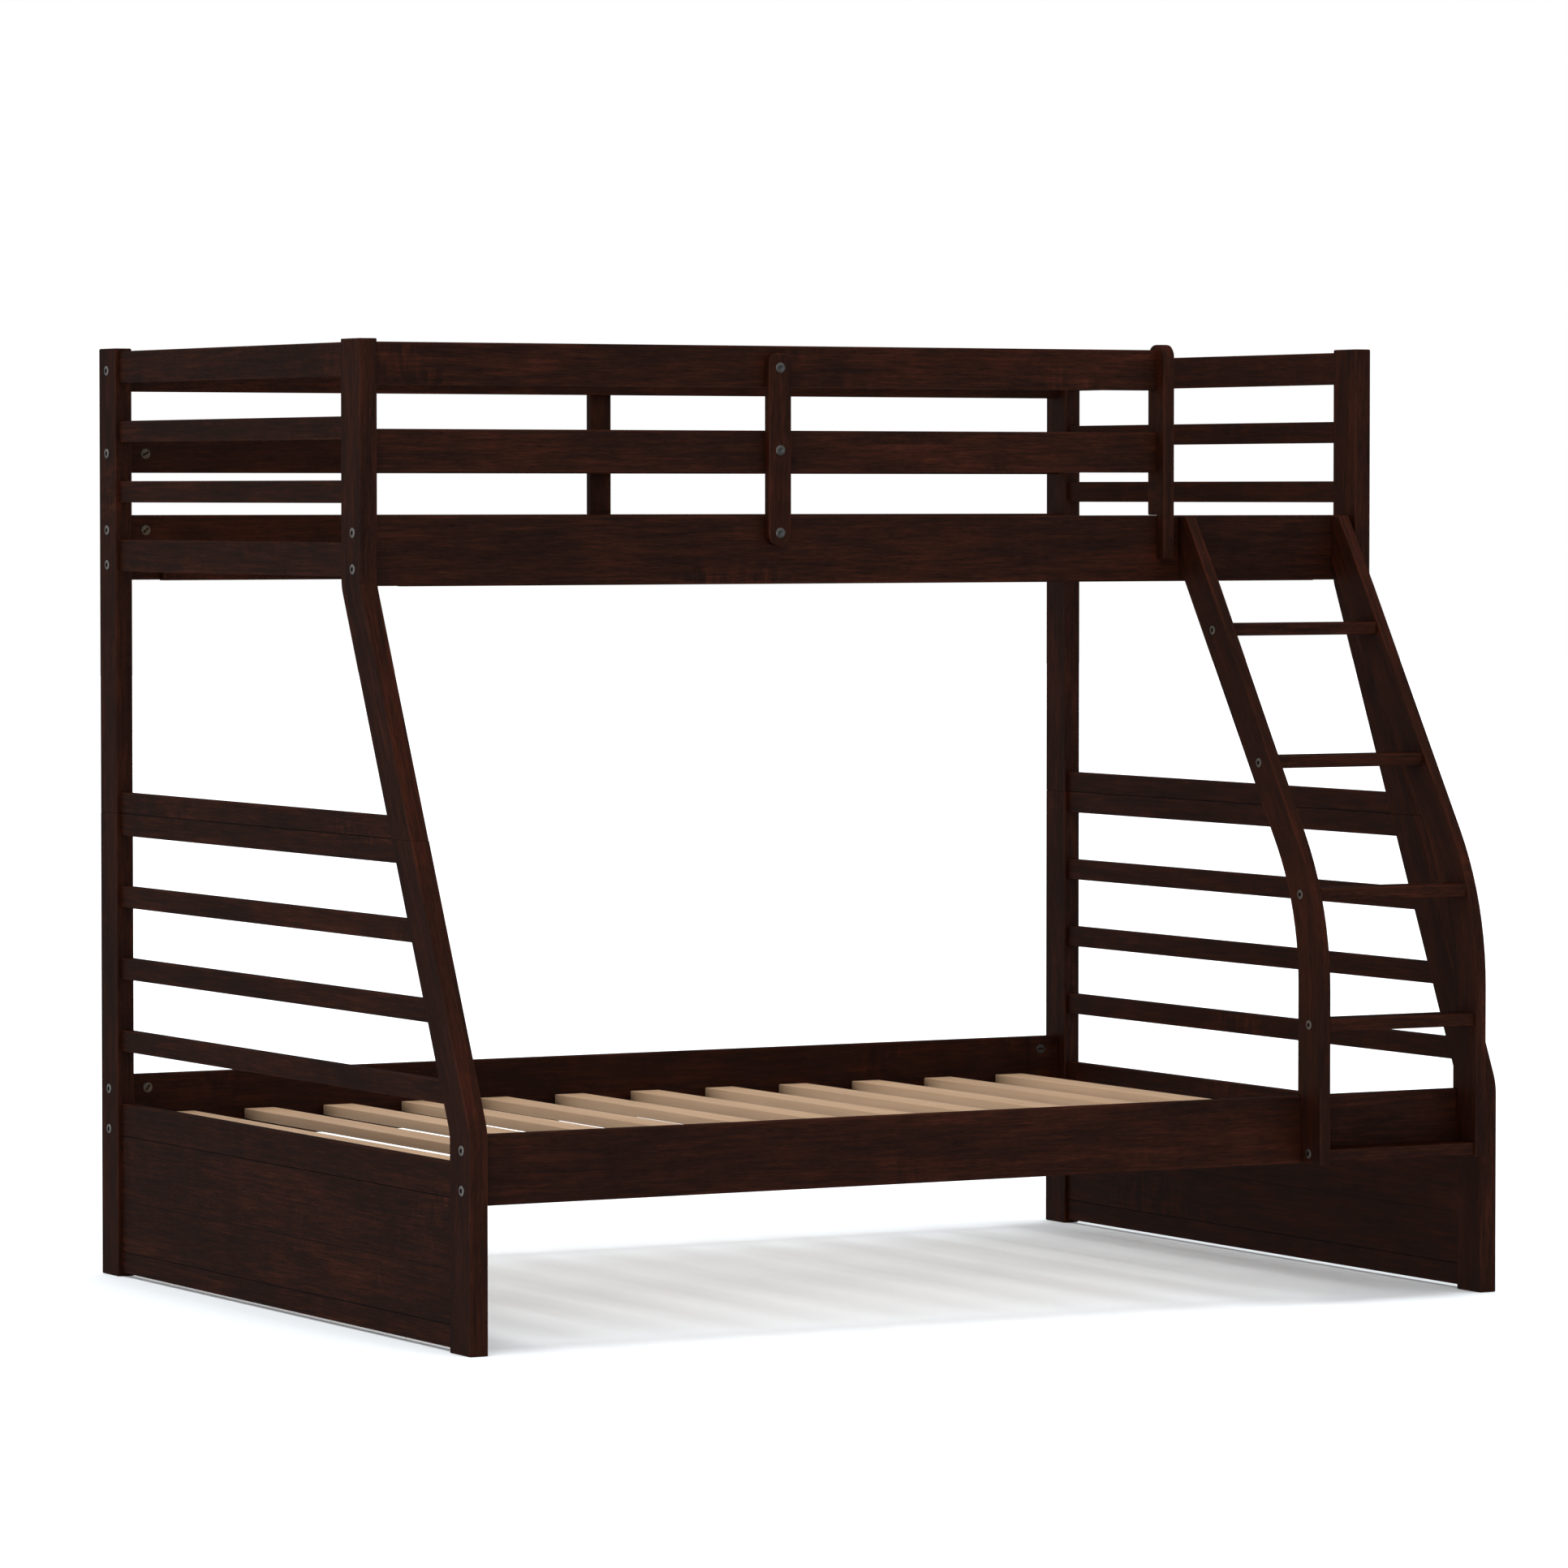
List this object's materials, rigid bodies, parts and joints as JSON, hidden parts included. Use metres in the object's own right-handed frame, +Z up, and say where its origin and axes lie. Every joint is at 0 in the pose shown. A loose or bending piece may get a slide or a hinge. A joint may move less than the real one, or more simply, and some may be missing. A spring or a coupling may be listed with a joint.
{
  "type": "bunk bed with ladder",
  "caption": "Twin-over-full wooden bunk bed with leaning front posts, slatted ends, guard rails and a fixed ladder with curved stringers at the front right.",
  "frame": {"origin": "on the floor, at the middle of the overall footprint", "axes": "+X along the bed towards the end with the ladder, +Y to the wall side, so the open front with the ladder faces -Y, +Z up"},
  "size_m": [2, 1.509, 1.6526],
  "materials": {
    "stained_wood": "dark espresso stain under satin lacquer",
    "slat_wood": "unfinished planed softwood",
    "steel": "zinc plated, dull",
    "webbing": "woven strap"
  },
  "bodies": {
    "root": {"front_guard_picket": "stained_wood", "front_guard_rail_middle": "stained_wood", "front_guard_rail_top": "stained_wood", "front_lower_cleat": "stained_wood", "front_lower_side_rail": "stained_wood", "front_upper_cleat": "stained_wood", "front_upper_side_rail": "stained_wood", "guard_end_board": "stained_wood", "ladder_left_stringer": "stained_wood", "ladder_right_stringer": "stained_wood", "ladder_tread_1": "stained_wood", "ladder_tread_2": "stained_wood", "ladder_tread_3": "stained_wood", "ladder_tread_4": "stained_wood", "ladder_tread_5": "stained_wood", "left_foot_panel": "stained_wood", "left_foot_trim": "stained_wood", "left_front_seam_pin": "steel", "left_lower_front_post": "stained_wood", "left_lower_rail": "stained_wood", "left_lower_rear_post": "stained_wood", "left_lower_seam_rail": "stained_wood", "left_lower_slat_1": "stained_wood", "left_lower_slat_2": "stained_wood", "left_lower_slat_3": "stained_wood", "left_middle_rail": "stained_wood", "left_rear_seam_pin": "steel", "left_top_rail": "stained_wood", "left_upper_front_post": "stained_wood", "left_upper_rear_post": "stained_wood", "left_upper_seam_rail": "stained_wood", "left_upper_slat_1": "stained_wood", "left_upper_slat_2": "stained_wood", "lower_slat_roll": "slat_wood", "rear_guard_picket": "stained_wood", "rear_guard_rail_middle": "stained_wood", "rear_guard_rail_top": "stained_wood", "rear_lower_cleat": "stained_wood", "rear_lower_side_rail": "stained_wood", "rear_upper_cleat": "stained_wood", "rear_upper_side_rail": "stained_wood", "right_foot_panel": "stained_wood", "right_foot_trim": "stained_wood", "right_front_seam_pin": "steel", "right_lower_front_post": "stained_wood", "right_lower_rail": "stained_wood", "right_lower_rear_post": "stained_wood", "right_lower_seam_rail": "stained_wood", "right_lower_slat_1": "stained_wood", "right_lower_slat_2": "stained_wood", "right_lower_slat_3": "stained_wood", "right_middle_rail": "stained_wood", "right_rear_seam_pin": "steel", "right_top_rail": "stained_wood", "right_upper_front_post": "stained_wood", "right_upper_rear_post": "stained_wood", "right_upper_seam_rail": "stained_wood", "right_upper_slat_1": "stained_wood", "right_upper_slat_2": "stained_wood", "upper_slat_roll": "slat_wood"}
  },
  "joints": []
}
